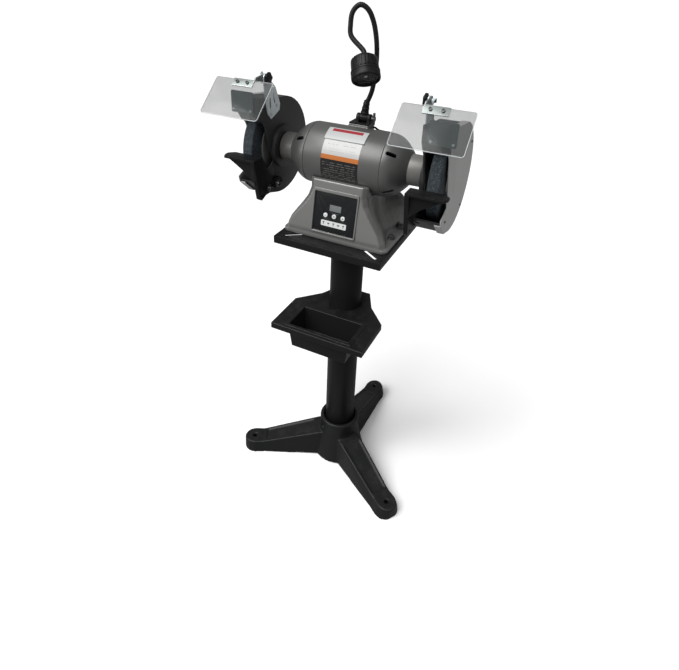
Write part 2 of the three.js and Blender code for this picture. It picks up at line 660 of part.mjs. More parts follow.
function lampBase() {
  const foot = box(-21, 27, 17, 53, 75.3, 78.6);
  const ears = [[-8, -1], [19, 26]].map(([a, b]) => join(
    box(a, b, LAMP.y - 10, LAMP.y + 10, 78, LAMP.z),
    moved(rod(10, a, b, 16, SPUN_X), 0, LAMP.y, LAMP.z),
  ));
  const eye = moved(rod(3.5, -40, 40, 10, SPUN_X), 0, LAMP.y, LAMP.z);
  return cut(join(foot, ...ears), eye);
}

// The lamp's lead leaves the boss on the shell, lies along the shell and goes in at the back.
const LEAD_ROUTE = [[28.1, 46, 66.8], [34, 46.5, 65.5], [42, 46, 61.5], [56, 45.5, 60.4], [72, 46, 60],
  [83, 51, 56.5], [86, 60, 48.5], [85, 66.5, 43], [84, 69.4, 38.6], [84, 66.4, 36.9], [84, 63.8, 35.4]];

function lampLead() {
  const route = new THREE.CatmullRomCurve3(LEAD_ROUTE.map((p) => new THREE.Vector3(...p)));
  return new THREE.ExtrudeGeometry(outline(arc(0, 0, LEAD_R, 0, 315, 7)), { steps: 30, extrudePath: route });
}

function wingScrew() {
  const wings = [[-14, 3], [-14, -3], [-4, -4], [4, -4], [14, -3], [14, 3], [4, 4], [-4, 4]];
  const blade = slabX(wings, 31, 35).rotateX(deg(90));
  const shank = rod(3.1, -8, 32, 16, SPUN_X);
  const hub = rod(5.5, 26.4, 36, 20, SPUN_X);
  return moved(join(shank, hub, blade), 0, LAMP.y, LAMP.z);
}

function neckCurve() {
  const tail = HEAD_BACK.clone().addScaledVector(HEAD_AXIS, -14);
  const points = NECK_ROUTE.map((p) => new THREE.Vector3(...p));
  return new THREE.CatmullRomCurve3([...points, tail, HEAD_BACK.clone().addScaledVector(HEAD_AXIS, -GAP)]);
}

function lampNeck() {
  const circle = outline(arc(0, 0, LAMP.neck, 0, 315, 7));
  const tube = new THREE.ExtrudeGeometry(circle, { steps: 44, extrudePath: neckCurve() });
  const root = join(box(-0.6, 18.6, LAMP.y - 9, LAMP.y + 9, LAMP.z, 98),
    moved(rod(9, -0.6, 18.6, 24, SPUN_X), 0, LAMP.y, LAMP.z));
  const eye = moved(rod(3.5, -40, 40, 16, SPUN_X), 0, LAMP.y, LAMP.z);
  const cone = turned([[0, 0], [9, 0], [6.6, 30], [0, 30]], 20, SPUN_Z);
  const sleeve = cone.rotateY(deg(8)).translate(9, LAMP.y, 96);
  return join(cut(root, eye), tube, sleeve);
}

function alongHead(geometry) {
  const turn = new THREE.Quaternion().setFromUnitVectors(Y, HEAD_AXIS);
  return geometry.applyQuaternion(turn).translate(...HEAD_BACK);
}

function lampHead() {
  const { headR, headLength } = LAMP;
  const still = new THREE.Matrix4();
  const skin = [[0, 0], [17, 0], [24, 4], [28, 12], [28.5, 33], [headR - 1, 35], [headR, 37], [headR, 52],
    [headR - 2, headLength], [26, headLength], [26, 46], [0, 46]];
  const grooves = Array.from({ length: 8 }, (_, i) => (
    moved(rod(2.6, -2, 31, 6, still), 29.5, 0, 0).rotateY((i / 8) * 2 * Math.PI)));
  return alongHead(cut(turned(skin, 32, still), ...grooves));
}

put(grinder, 'lamp_base', lampBase(), BLACK_PLASTIC);
put(grinder, 'lamp_lead', lampLead(), BLACK_PLASTIC);
put(grinder, 'lamp_wing_screw', wingScrew(), BLACK_STEEL);
put(grinder, 'lamp_neck', lampNeck(), BLACK_PLASTIC);
put(grinder, 'lamp_head', lampHead(), BLACK_PLASTIC);
put(grinder, 'lamp_lens', alongHead(rod(25.7, 46.3, 49.5, 32, new THREE.Matrix4())), CLEAR);

// The origin is the middle of the footprint: the base's rear leg and the shields set it.
const whole = new THREE.Box3().setFromObject(object);
object.position.y = -(whole.min.y + whole.max.y) / 2;

export default object;
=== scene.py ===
# A bench grinder on its stand: fine castings, fittings and finishes around the imported model.
# Blender works in metres. Lengths written in millimetres go through MM or spot().
import math

import bpy
from mathutils import Matrix, Quaternion, Vector


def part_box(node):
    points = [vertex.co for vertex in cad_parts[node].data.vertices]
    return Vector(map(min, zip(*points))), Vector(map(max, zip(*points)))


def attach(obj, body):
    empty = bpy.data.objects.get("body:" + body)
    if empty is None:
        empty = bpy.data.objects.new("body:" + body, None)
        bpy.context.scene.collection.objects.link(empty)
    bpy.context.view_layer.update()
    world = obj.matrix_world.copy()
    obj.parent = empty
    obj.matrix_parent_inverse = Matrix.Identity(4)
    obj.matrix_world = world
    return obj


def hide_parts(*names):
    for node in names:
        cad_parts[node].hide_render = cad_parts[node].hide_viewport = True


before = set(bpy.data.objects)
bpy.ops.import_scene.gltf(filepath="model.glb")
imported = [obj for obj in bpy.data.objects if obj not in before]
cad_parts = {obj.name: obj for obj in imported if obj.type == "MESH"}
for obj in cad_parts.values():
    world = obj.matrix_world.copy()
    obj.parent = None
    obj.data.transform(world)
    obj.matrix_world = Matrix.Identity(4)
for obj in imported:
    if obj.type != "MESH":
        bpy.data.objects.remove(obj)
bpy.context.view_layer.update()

bpy.context.scene.view_settings.view_transform = "Standard"
MM = 0.001
SIDES = ("right", "left")

shaft_low, shaft_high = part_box("spindle_shaft")
SPINDLE = (shaft_low + shaft_high) / 2
WHEEL_X = 223
WHEEL_R = 101.6
WHEEL_HALF_WIDTH = 12.7
SHELL_R = 72
SEAT = -178.4
PANEL_TILT = math.radians(-10)
SHIELD_PIVOT = (-71, 170)
PANE_MIDDLE = (-105, 167)
PANE_TILT = math.radians(47)
REST_BOLT_STEP = -37


def spot(x, y, z):
    """A place in millimetres from the middle of the spindle, in metres in the part's frame."""
    return Vector((x, y, z)) * MM + SPINDLE


# ---------- working on pieces ----------
def select_only(piece):
    if bpy.context.mode != "OBJECT":
        bpy.ops.object.mode_set(mode="OBJECT")
    bpy.ops.object.select_all(action="DESELECT")
    piece.select_set(True)
    bpy.context.view_layer.objects.active = piece


def start_edit(piece, wanted=None):
    """Opens the piece in edit mode with every face picked, or those that wanted(centre, normal) picks."""
    select_only(piece)
    bpy.ops.object.mode_set(mode="EDIT")
    bpy.ops.mesh.select_mode(type="FACE")
    bpy.ops.mesh.select_all(action="SELECT" if wanted is None else "DESELECT")
    if wanted:
        bpy.ops.object.mode_set(mode="OBJECT")
        for face in piece.data.polygons:
            face.select = wanted(face.center, face.normal)
        bpy.ops.object.mode_set(mode="EDIT")


def start_edge_edit(piece, wanted):
    """Opens the piece in edit mode with the edges that wanted(one end, other end) picks."""
    start_edit(piece)
    bpy.ops.mesh.select_mode(type="EDGE")
    bpy.ops.mesh.select_all(action="DESELECT")
    bpy.ops.object.mode_set(mode="OBJECT")
    at = piece.data.vertices
    for edge in piece.data.edges:
        edge.select = wanted(at[edge.vertices[0]].co, at[edge.vertices[1]].co)
    bpy.ops.object.mode_set(mode="EDIT")


def end_edit():
    bpy.ops.object.mode_set(mode="OBJECT")


def modify(piece, kind, **settings):
    select_only(piece)
    modifier = piece.modifiers.new(kind.lower(), kind)
    for key, value in settings.items():
        setattr(modifier, key, value)
    bpy.ops.object.modifier_apply(modifier=modifier.name)


def place(piece, matrix):
    """Puts the piece's shape where the matrix says and leaves its object at the origin."""
    select_only(piece)
    piece.matrix_world = matrix
    bpy.ops.object.transform_apply(location=True, rotation=True, scale=True)


def outward(piece):
    start_edit(piece)
    bpy.ops.mesh.remove_doubles(threshold=0.01 * MM)
    bpy.ops.mesh.normals_make_consistent(inside=False)
    end_edit()


def smooth(piece, angle=32):
    select_only(piece)
    bpy.ops.object.shade_smooth_by_angle(angle=math.radians(angle))


def ease(piece, width, segments=3, angle=32):
    """Rounds the piece's corners, with width in millimetres."""
    modify(piece, "BEVEL", width=width * MM, segments=segments, limit_method="ANGLE",
           angle_limit=math.radians(angle), harden_normals=False)


def copied(piece, name, matrix):
    select_only(piece)
    bpy.ops.object.duplicate(linked=False)
    twin = bpy.context.view_layer.objects.active
    twin.name = name
    place(twin, matrix)
    return twin


def mirrored(piece, name):
    twin = copied(piece, name, Matrix.Scale(-1, 4, Vector((1, 0, 0))))
    outward(twin)
    return twin


def merged_copy(node, name):
    """A separate mesh copy of a model node with its corners joined up, ready to be worked on."""
    piece = bpy.data.objects.new(name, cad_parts[node].data.copy())
    bpy.context.scene.collection.objects.link(piece)
    piece.data.materials.clear()
    start_edit(piece)
    bpy.ops.mesh.remove_doubles(threshold=0.01 * MM)
    bpy.ops.mesh.dissolve_limited(angle_limit=math.radians(0.5))
    end_edit()
    return piece


def carve(piece, cutter):
    modify(piece, "BOOLEAN", object=cutter, operation="DIFFERENCE", solver="EXACT")
    bpy.data.objects.remove(cutter)


def fit(piece, body, slot, *finishes, stands_for=()):
    """Gives a finished piece its finishes and its body; its slot is not used."""
    piece.data.materials.clear()
    for finish in finishes:
        piece.data.materials.append(finish)
    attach(piece, body)
    if stands_for:
        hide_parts(*stands_for)
    return piece


# ---------- starting shapes ----------
def turned(name, profile, sides=96):
    """Turns a row of (distance along X, radius) pairs in millimetres, ring by ring, about the X axis.
    A profile that ends where it starts makes a ring; any other gets a flat cap at each end."""
    along, radius = profile[0]
    bpy.ops.object.select_all(action="DESELECT")
    bpy.ops.mesh.primitive_circle_add(vertices=sides, radius=radius * MM, location=(along * MM, 0, 0),
                                      rotation=(0, math.pi / 2, 0))
    piece = bpy.context.object
    piece.name = name
    bpy.ops.object.transform_apply(location=True, rotation=True, scale=True)
    bpy.ops.object.mode_set(mode="EDIT")
    bpy.ops.mesh.select_mode(type="EDGE")
    bpy.ops.mesh.select_all(action="SELECT")
    for to, wanted in profile[1:]:
        step = Vector(((to - along) * MM, 0, 0))
        bpy.ops.mesh.extrude_region_move(TRANSFORM_OT_translate={"value": step})
        grow = wanted / radius
        bpy.ops.transform.resize(value=(1, grow, grow), center_override=(0, 0, 0))
        along, radius = to, wanted
    if profile[0] != profile[-1]:
        bpy.ops.mesh.edge_face_add()
        bpy.ops.mesh.select_all(action="DESELECT")
        bpy.ops.mesh.select_non_manifold()
        bpy.ops.mesh.edge_face_add()
    end_edit()
    outward(piece)
    return piece


def block(name, x0, x1, y0, y1, z0, z1):
    """A box between two corners, in millimetres, to be shaped further."""
    bpy.ops.object.select_all(action="DESELECT")
    middle = Vector((x0 + x1, y0 + y1, z0 + z1)) * MM / 2
    bpy.ops.mesh.primitive_cube_add(size=1, location=middle)
    piece = bpy.context.object
    piece.name = name
    piece.scale = Vector((x1 - x0, y1 - y0, z1 - z0)) * MM
    bpy.ops.object.transform_apply(location=True, rotation=True, scale=True)
    return piece


def round_edges_along(piece, axis, radius, segments=6):
    """Rounds the edges of the piece that run along one axis, 0 for X, 1 for Y and 2 for Z."""
    others = [i for i in range(3) if i != axis]

    def runs_along(a, b):
        return abs(a[axis] - b[axis]) > 1e-6 and all(abs(a[i] - b[i]) < 1e-6 for i in others)

    start_edge_edit(piece, runs_along)
    bpy.ops.mesh.bevel(offset=radius * MM, segments=segments, affect="EDGES")
    end_edit()


# ---------- finishes ----------
class Field:
    """One output of a finish's nodes. Sums, products and comparisons on it add Math nodes."""

    def __init__(self, finish, socket):
        self.finish = finish
        self.socket = socket

    def math(self, operation, *values):
        settings = {"operation": operation}
        return self.finish.node("ShaderNodeMath", settings, dict(enumerate(values)))

    def __add__(self, other):
        return self.math("ADD", self, other)

    def __sub__(self, other):
        return self.math("SUBTRACT", self, other)

    def __rsub__(self, other):
        return self.math("SUBTRACT", other, self)

    def __mul__(self, other):
        return self.math("MULTIPLY", self, other)

    def __truediv__(self, other):
        return self.math("DIVIDE", self, other)

    def __gt__(self, other):
        return self.math("GREATER_THAN", self, other)

    def __lt__(self, other):
        return self.math("LESS_THAN", self, other)

    __radd__ = __add__
    __rmul__ = __mul__

    def between(self, low, high):
        return (self > low) * (self < high)

    def rise(self, low, high):
        """0 below low and 1 above high, in a smooth step."""
        settings = {"interpolation_type": "SMOOTHSTEP"}
        return self.finish.node("ShaderNodeMapRange", settings, {0: self, 1: low, 2: high})


class Finish:
    """A material: its nodes, the place on the piece that they read and the shader that they feed."""

    def __init__(self, name, constants):
        self.material = bpy.data.materials.new(name)
        self.material.use_nodes = True
        self.tree = self.material.node_tree
        self.shader = self.tree.nodes["Principled BSDF"]
        for key, value in constants.items():
            self.shader.inputs[key].default_value = value
        self.point = self.node("ShaderNodeTexCoord", {}, {}, "Object")

    def node(self, kind, settings, sockets, output=0):
        made = self.tree.nodes.new(kind)
        for key, value in settings.items():
            setattr(made, key, value)
        for key, value in sockets.items():
            if isinstance(value, Field):
                self.tree.links.new(value.socket, made.inputs[key])
            else:
                made.inputs[key].default_value = value
        return Field(self, made.outputs[output])

    def noise(self, scale, detail=2.0, rough=0.5, point=None):
        sockets = {"Vector": point or self.point, "Scale": scale, "Detail": detail, "Roughness": rough}
        return self.node("ShaderNodeTexNoise", {}, sockets)

    def cells(self, scale, output="Distance"):
        return self.node("ShaderNodeTexVoronoi", {}, {"Vector": self.point, "Scale": scale}, output)

    def stretched(self, x, y, z, turn=0):
        sockets = {"Vector": self.point, "Scale": (x, y, z), "Rotation": (0, 0, turn)}
        return self.node("ShaderNodeMapping", {}, sockets)

    def axis(self, index, vector=None):
        return self.node("ShaderNodeSeparateXYZ", {}, {0: vector or self.point}, index)

    def facing_up(self):
        return self.axis(2, self.node("ShaderNodeNewGeometry", {}, {}, "Normal"))

    def mix(self, amount, first, second):
        return self.node("ShaderNodeMix", {"data_type": "RGBA"}, {0: amount, 6: first, 7: second}, 2)

    def feed(self, key, field):
        self.tree.links.new(field.socket, self.shader.inputs[key])

    def relief(self, height, depth, strength=1.0):
        """Bump of a given depth in millimetres from a height between 0 and 1."""
        sockets = {"Height": height, "Distance": depth * MM, "Strength": strength}
        self.feed("Normal", self.node("ShaderNodeBump", {}, sockets))


def rgb(red, green, blue):
    return (red, green, blue, 1.0)


def scaled(colour, factor, lift=0.0):
    return rgb(*(c * factor + lift for c in colour[:3]))


def paint(name, colour, worn, rough, grain, depth, metallic=0.0, dust=0.0, shine=0.5):
    """Sprayed paint: slow shade changes, fine pebbling, a few rubbed spots and settled dust."""
    finish = Finish(name, {"Metallic": metallic, "Specular IOR Level": shine})
    slow = finish.noise(7, 3)
    pebble = finish.noise(grain, 3, 0.6)
    rubbed = finish.noise(60, 6, 0.7).rise(0.68, 0.78)
    shade = finish.mix(slow * 0.6 + pebble * 0.25, colour, scaled(colour, 1.25, 0.004))
    shade = finish.mix(rubbed * 0.5, shade, worn)
    if dust:
        settled = finish.facing_up().rise(0.7, 1.0) * finish.noise(45, 5, 0.7).rise(0.4, 0.75)
        shade = finish.mix(settled * dust, shade, rgb(0.30, 0.29, 0.27))
    finish.feed("Base Color", shade)
    finish.feed("Roughness", slow * 0.12 + pebble * 0.1 + (rough - 0.11) - rubbed * 0.06)
    finish.relief(pebble, depth)
    return finish.material


def plated(name, colour, rough, spangle=0.5, metallic=0.6):
    """Bright zinc or nickel: faint crystal patches and hairline scratches."""
    finish = Finish(name, {"Metallic": metallic})
    patch = finish.axis(0, finish.cells(420, "Color"))
    hair = finish.noise(90, 4, 0.6, finish.stretched(1, 9, 30, 0.5))
    dull = finish.noise(35, 4)
    tone = patch * 0.25 * spangle + dull * 0.5 + hair * 0.2
    finish.feed("Base Color", finish.mix(tone, colour, scaled(colour, 0.62)))
    finish.feed("Roughness", hair * 0.16 + dull * 0.14 + (rough - 0.1))
    finish.relief(hair, 0.03, 0.6)
    return finish.material


def machined(name, colour, rough):
    """Turned steel: fine rings about the spindle and a little tarnish."""
    finish = Finish(name, {"Metallic": 0.7})
    ring = finish.noise(900, 2, 0.5, finish.stretched(1, 0.04, 0.04))
    tarnish = finish.noise(38, 5, 0.65)
    finish.feed("Base Color", finish.mix(tarnish * 0.7 + ring * 0.2, colour, rgb(0.2, 0.19, 0.18)))
    finish.feed("Roughness", ring * 0.14 + tarnish * 0.2 + (rough - 0.15))
    finish.relief(ring, 0.02, 0.5)
    return finish.material


def moulded(name, colour, rough, grain, depth, shine=0.3):
    """Moulded plastic or rubber: fine tooth, handling marks and settled dust."""
    finish = Finish(name, {"Specular IOR Level": shine})
    tooth = finish.noise(grain, 2, 0.6)
    marks = finish.noise(70, 5, 0.7)
    dusty = marks.rise(0.5, 0.8) * 0.35
    finish.feed("Base Color", finish.mix(dusty + tooth * 0.1, colour, scaled(colour, 1.5, 0.004)))
    finish.feed("Roughness", marks * 0.2 + tooth * 0.06 + (rough - 0.12))
    finish.relief(tooth, depth)
    return finish.material


def casting_paint():
    """Thick black paint over sand-cast iron: pitted, with dust in the flats."""
    finish = Finish("cast_iron_black", {"Specular IOR Level": 0.2})
    lumps = finish.noise(190, 4, 0.6)
    pits = finish.cells(520)
    slow = finish.noise(9, 3)
    settled = finish.facing_up().rise(0.5, 1.0) * finish.noise(30, 5, 0.7).rise(0.42, 0.8)
    shade = finish.mix(slow * 0.7, rgb(0.006, 0.0063, 0.0066), rgb(0.012, 0.0125, 0.013))
    finish.feed("Base Color", finish.mix(settled * 0.05, shade, rgb(0.22, 0.21, 0.2)))
    finish.feed("Roughness", lumps * 0.2 + slow * 0.1 + 0.27)
    finish.relief(lumps * 0.8 + pits * 0.5, 0.35, 0.8)
    return finish.material


def grit():
    """Vitrified abrasive: blue-grey grains, bright flecks, dark pores and a few burnt marks."""
    finish = Finish("abrasive_grit", {"Specular IOR Level": 0.35})
    grains = finish.cells(760, "Color")
    tone = finish.axis(0, grains)
    pore = finish.cells(760).rise(0.15, 0.55)
    patch = finish.noise(55, 5, 0.7)
    shade = finish.mix(tone * 0.6 + patch * 0.5, rgb(0.022, 0.030, 0.036), rgb(0.085, 0.105, 0.12))
    shade = finish.mix((tone > 0.93) * 0.8, shade, rgb(0.2, 0.23, 0.25))
    shade = finish.mix(pore * 0.35, shade, rgb(0.008, 0.01, 0.012))
    finish.feed("Base Color", shade)
    finish.feed("Roughness", 0.98 - (tone > 0.93) * 0.45 - patch * 0.1)
    finish.relief(pore * -0.8 + tone * 0.5, 0.5)
    return finish.material


def clear_pane(name, alpha, tint, rough):
    """Clear moulded shield with faint rub marks and dust."""
    finish = Finish(name, {"Specular IOR Level": 0.35})
    haze = finish.noise(26, 5, 0.7)
    hair = finish.noise(60, 3, 0.6, finish.stretched(1, 14, 3, 0.4)).rise(0.6, 0.74)
    finish.feed("Base Color", finish.mix(haze, tint, scaled(tint, 1.12)))
    finish.feed("Roughness", haze * 0.12 + hair * 0.1 + rough)
    finish.feed("Alpha", haze * 0.06 + hair * 0.03 + (alpha - 0.03))
    return finish.material


def rating_label():
    """Printed foil label: white heading with faint rules, an orange band and a black field with rules."""
    finish = Finish("rating_label", {"Coat Weight": 0.15, "Coat Roughness": 0.2, "Specular IOR Level": 0.3})
    x, y, z = (finish.axis(i) for i in range(3))
    angle = (z - SPINDLE.z).math("ARCTAN2", z - SPINDLE.z, (y - SPINDLE.y) * -1)
    turn = angle * math.degrees(1)
    column = x / MM
    rows = turn * 0.24
    row = rows.math("FRACT", rows)
    words = finish.node("ShaderNodeCombineXYZ", {}, {0: column * 0.16, 1: (rows - row) * 7.3})
    dashes = finish.noise(1, 1, 0.5, words).rise(0.4, 0.5)
    ruled = (row < 0.36) * dashes
    title = column.between(-36, 32) * turn.between(35, 42)
    heading = title + column.between(-42, 36) * turn.between(22, 32) * 0.6
    notes = column.between(-43, 38) * turn.between(-25, 8)
    shade = finish.mix(ruled * heading * 0.45, rgb(0.43, 0.43, 0.42), rgb(0.12, 0.14, 0.18))
    shade = finish.mix(turn < 19, shade, rgb(0.42, 0.135, 0.035))
    black = finish.mix(ruled * notes * 0.3, rgb(0.01, 0.01, 0.011), rgb(0.3, 0.28, 0.25))
    shade = finish.mix(turn < 11, shade, black)
    scuffs = finish.noise(80, 5, 0.7)
    finish.feed("Base Color", finish.mix(scuffs.rise(0.62, 0.85) * 0.3, shade, rgb(0.4, 0.4, 0.4)))
    finish.feed("Roughness", scuffs * 0.25 + 0.12)
    return finish.material


def printed(name, colour, rough, mottle=0.15):
    """Screen-printed ink or a smooth cap, slightly rubbed."""
    finish = Finish(name, {"Specular IOR Level": 0.5})
    rub = finish.noise(140, 4, 0.7)
    finish.feed("Base Color", finish.mix(rub * mottle, colour, scaled(colour, 0.7)))
    finish.feed("Roughness", rub * 0.2 + (rough - 0.1))
    finish.relief(finish.noise(2200, 1), 0.01, 0.4)
    return finish.material


def display_glass():
    """The blank grey display, slightly cloudy."""
    finish = Finish("display_grey", {"Coat Weight": 0.3, "Coat Roughness": 0.15})
    cloud = finish.noise(120, 3)
    fine = finish.noise(3000, 1)
    shade = finish.mix(cloud * 0.5 + fine * 0.2, rgb(0.12, 0.13, 0.13), rgb(0.16, 0.17, 0.17))
    finish.feed("Base Color", shade)
    finish.feed("Roughness", cloud * 0.15 + 0.18)
    return finish.material


def copper_winding():
    finish = Finish("copper_winding", {"Metallic": 0.9})
    wires = finish.noise(700, 1, 0.5, finish.stretched(0.1, 1, 1))
    finish.feed("Base Color", finish.mix(wires, rgb(0.42, 0.16, 0.06), rgb(0.62, 0.3, 0.14)))
    finish.feed("Roughness", wires * 0.3 + 0.25)
    finish.relief(wires, 0.4)
    return finish.material


def circuit_board():
    finish = Finish("circuit_board", {"Coat Weight": 0.4, "Coat Roughness": 0.2})
    tracks = (finish.noise(180, 1) * 9).math("FRACT", finish.noise(180, 1) * 9)
    finish.feed("Base Color", finish.mix((tracks < 0.4) * 0.8, rgb(0.01, 0.1, 0.04), rgb(0.03, 0.2, 0.08)))
    finish.feed("Roughness", tracks * 0.2 + 0.3)
    return finish.material


gunmetal = paint("gunmetal_paint", rgb(0.095, 0.094, 0.092), rgb(0.2, 0.2, 0.195),
                 rough=0.4, grain=950, depth=0.05, metallic=0.4, dust=0.06)
# Lighter gunmetal on the rounded edges of the motor shell: a painted highlight.
gunmetal_edge_highlight = paint("gunmetal_paint_highlight", rgb(0.15, 0.15, 0.147), rgb(0.26, 0.26, 0.25),
                      rough=0.34, grain=950, depth=0.03, metallic=0.4)
pedestal_grey = paint("pedestal_paint", rgb(0.18, 0.179, 0.175), rgb(0.26, 0.26, 0.255),
                      rough=0.36, grain=950, depth=0.05, metallic=0.5, dust=0.05)
neck_grey = paint("warm_grey_paint", rgb(0.16, 0.157, 0.148), rgb(0.24, 0.236, 0.225),
                  rough=0.43, grain=950, depth=0.05, metallic=0.3, dust=0.05)
cover_grey = paint("cover_grey_paint", rgb(0.42, 0.42, 0.415), rgb(0.48, 0.48, 0.475),
                   rough=0.5, grain=620, depth=0.09, metallic=0.1, dust=0.06)
satin_black = paint("satin_black_paint", rgb(0.006, 0.0062, 0.0066), rgb(0.02, 0.02, 0.02),
                    rough=0.4, grain=1300, depth=0.04, dust=0.03, shine=0.12)
guard_black = paint("guard_black_paint", rgb(0.02, 0.0203, 0.0206), rgb(0.05, 0.05, 0.05),
                    rough=0.45, grain=1300, depth=0.04, dust=0.05, shine=0.4)
# Lighter black on the rounded edges of black parts: a painted highlight.
black_edge_highlight = paint("satin_black_edge", rgb(0.014, 0.0145, 0.015), rgb(0.05, 0.05, 0.05),
                   rough=0.34, grain=1300, depth=0.03, shine=0.35)
cast_black = casting_paint()
black_plastic = moulded("moulded_black", rgb(0.0055, 0.0055, 0.006),
                        rough=0.42, grain=1900, depth=0.04, shine=0.22)
lamp_rubber = moulded("black_rubber_sleeve", rgb(0.006, 0.006, 0.0065),
                      rough=0.47, grain=1500, depth=0.05, shine=0.25)
zinc = plated("zinc_plate", rgb(0.8, 0.87, 0.9), rough=0.32, metallic=0.35)
zinc_dull = plated("zinc_dull", rgb(0.15, 0.19, 0.19), rough=0.45, spangle=0.3)
zinc_grey = plated("zinc_grey", rgb(0.27, 0.3, 0.29), rough=0.38, spangle=0.4)
# Bright zinc on the rounded edges of the clamps and brackets: a painted highlight.
zinc_edge_highlight = plated("zinc_plate_highlight", rgb(0.85, 0.87, 0.88), rough=0.22, spangle=0.1)
steel = machined("turned_steel", rgb(0.75, 0.75, 0.74), rough=0.3)
black_steel = moulded("black_oxide", rgb(0.03, 0.031, 0.033), rough=0.3, grain=1600, depth=0.03, shine=0.7)
abrasive = grit()
# Light grey for the rim of each wheel's outer side: a painted highlight along the rim.
wheel_rim_highlight = paint("wheel_rim_painted_highlight", rgb(0.3, 0.32, 0.33), rgb(0.45, 0.46, 0.47),
                     rough=0.8, grain=1400, depth=0.2)
pane_clear = clear_pane("clear_shield", 0.34, rgb(0.06, 0.064, 0.064), rough=0.08)
# Whitish, less clear finish on the shield's edge faces: a painted highlight.
pane_edge_highlight = clear_pane("clear_shield_highlight", 0.85, rgb(0.8, 0.83, 0.84), rough=0.15)
lens_clear = clear_pane("lamp_lens_clear", 0.1, rgb(0.3, 0.31, 0.32), rough=0.06)
panel_black = moulded("panel_membrane", rgb(0.007, 0.0075, 0.0085), rough=0.3, grain=2600, depth=0.012)
display_grey = display_glass()
cap_white = printed("button_white", rgb(0.62, 0.63, 0.63), rough=0.35)
strip_silver = printed("strip_silver", rgb(0.6, 0.61, 0.61), rough=0.4, mottle=0.25)
plate_silver = printed("name_plate_silver", rgb(0.42, 0.43, 0.425), rough=0.35, mottle=0.3)
ink_black = printed("print_black", rgb(0.012, 0.012, 0.014), rough=0.4)
ink_red = printed("print_red", rgb(0.28, 0.022, 0.03), rough=0.35)
label = rating_label()
winding = copper_winding()
board = circuit_board()
reflector = moulded("lamp_face_black", rgb(0.012, 0.012, 0.013), rough=0.25, grain=1900, depth=0.02)


# ---------- camera, lights and floor ----------
def set_camera():
    data = bpy.data.cameras.new("camera")
    camera = bpy.data.objects.new("camera", data)
    bpy.context.scene.collection.objects.link(camera)
    bpy.context.scene.camera = camera
    data.sensor_width = 36
    data.lens = 27.636
    data.shift_x = 0.0021
    data.shift_y = -0.1265
    yaw, pitch, roll = (math.radians(a) for a in (24.795, -28.644, 2.32))
    ahead = Vector((-math.sin(yaw) * math.cos(pitch), math.cos(yaw) * math.cos(pitch), math.sin(pitch)))
    camera.location = (0.46595, -1.12473, 1.34507)
    camera.rotation_mode = "QUATERNION"
    camera.rotation_quaternion = ahead.to_track_quat("-Z", "Y") @ Quaternion((0, 0, 1), roll)


def soft_box(name, place_at, aim, size, power):
    data = bpy.data.lights.new(name, "AREA")
    data.shape = "RECTANGLE"
    data.size, data.size_y = size
    data.energy = power
    lamp = bpy.data.objects.new(name, data)
    bpy.context.scene.collection.objects.link(lamp)
    lamp.location = place_at
    lamp.rotation_euler = (Vector(aim) - Vector(place_at)).to_track_quat("-Z", "Y").to_euler()


def studio():
    world = bpy.data.worlds.new("studio")
    bpy.context.scene.world = world
    world.use_nodes = True
    world.node_tree.nodes["Background"].inputs["Color"].default_value = rgb(1, 1, 1)
    world.node_tree.nodes["Background"].inputs["Strength"].default_value = 0.25
    sun = bpy.data.objects.new("key_light", bpy.data.lights.new("key_light", "SUN"))
    bpy.context.scene.collection.objects.link(sun)
    sun.data.energy = 3.7
    sun.data.angle = math.radians(50)
    sun.rotation_euler = Vector((0.3, 0.62, -1)).to_track_quat("-Z", "Y").to_euler()
    soft_box("left_box", (-1.9, -1.9, 1.9), (0, 0, 0.9), (0.9, 1.5), 22)
    soft_box("right_box", (2.2, -0.2, 2.3), (0, 0, 1.0), (0.5, 1.2), 6)
    bpy.ops.object.select_all(action="DESELECT")
    bpy.ops.mesh.primitive_plane_add(size=160, location=(0, 0, -0.0005))
    floor = bpy.context.object
    floor.name = "floor"
    finish = Finish("studio_floor", {"Specular IOR Level": 0.2})
    seen = finish.node("ShaderNodeLightPath", {}, {}, "Is Camera Ray")
    white = finish.mix(finish.noise(3, 3), rgb(0.9, 0.9, 0.9), rgb(0.93, 0.93, 0.93))
    finish.feed("Base Color", finish.mix(seen, rgb(0.28, 0.28, 0.28), white))
    finish.feed("Roughness", finish.noise(8, 3) * 0.1 + 0.7)
    floor.data.materials.append(finish.material)


# ---------- nodes that keep their own shape ----------
def dress(node, finish, edge=None, width=0.4, segments=2, angle=30):
    """Keeps a model node: joins its corners, flattens its facets and rounds its edges, then paints it. A
    second finish, when given, goes on the rounded edges as a painted highlight.
    """
    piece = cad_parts[node]
    piece.data.materials.clear()
    piece.data.materials.append(finish)
    if edge:
        piece.data.materials.append(edge)
    for face in piece.data.polygons:
        face.use_smooth = True
        face.material_index = 0
    joined = piece.modifiers.new("joined", "WELD")
    joined.merge_threshold = 0.01 * MM
    flat = piece.modifiers.new("flat", "DECIMATE")
    flat.decimate_type = "DISSOLVE"
    flat.angle_limit = math.radians(0.5)
    rounded = piece.modifiers.new("rounded", "BEVEL")
    rounded.width = width * MM
    rounded.segments = segments
    rounded.limit_method = "ANGLE"
    rounded.angle_limit = math.radians(angle)
    rounded.harden_normals = True
    # Bevel faces take the second finish, which paints a highlight along the rounded edges.
    rounded.material = 1 if edge else -1


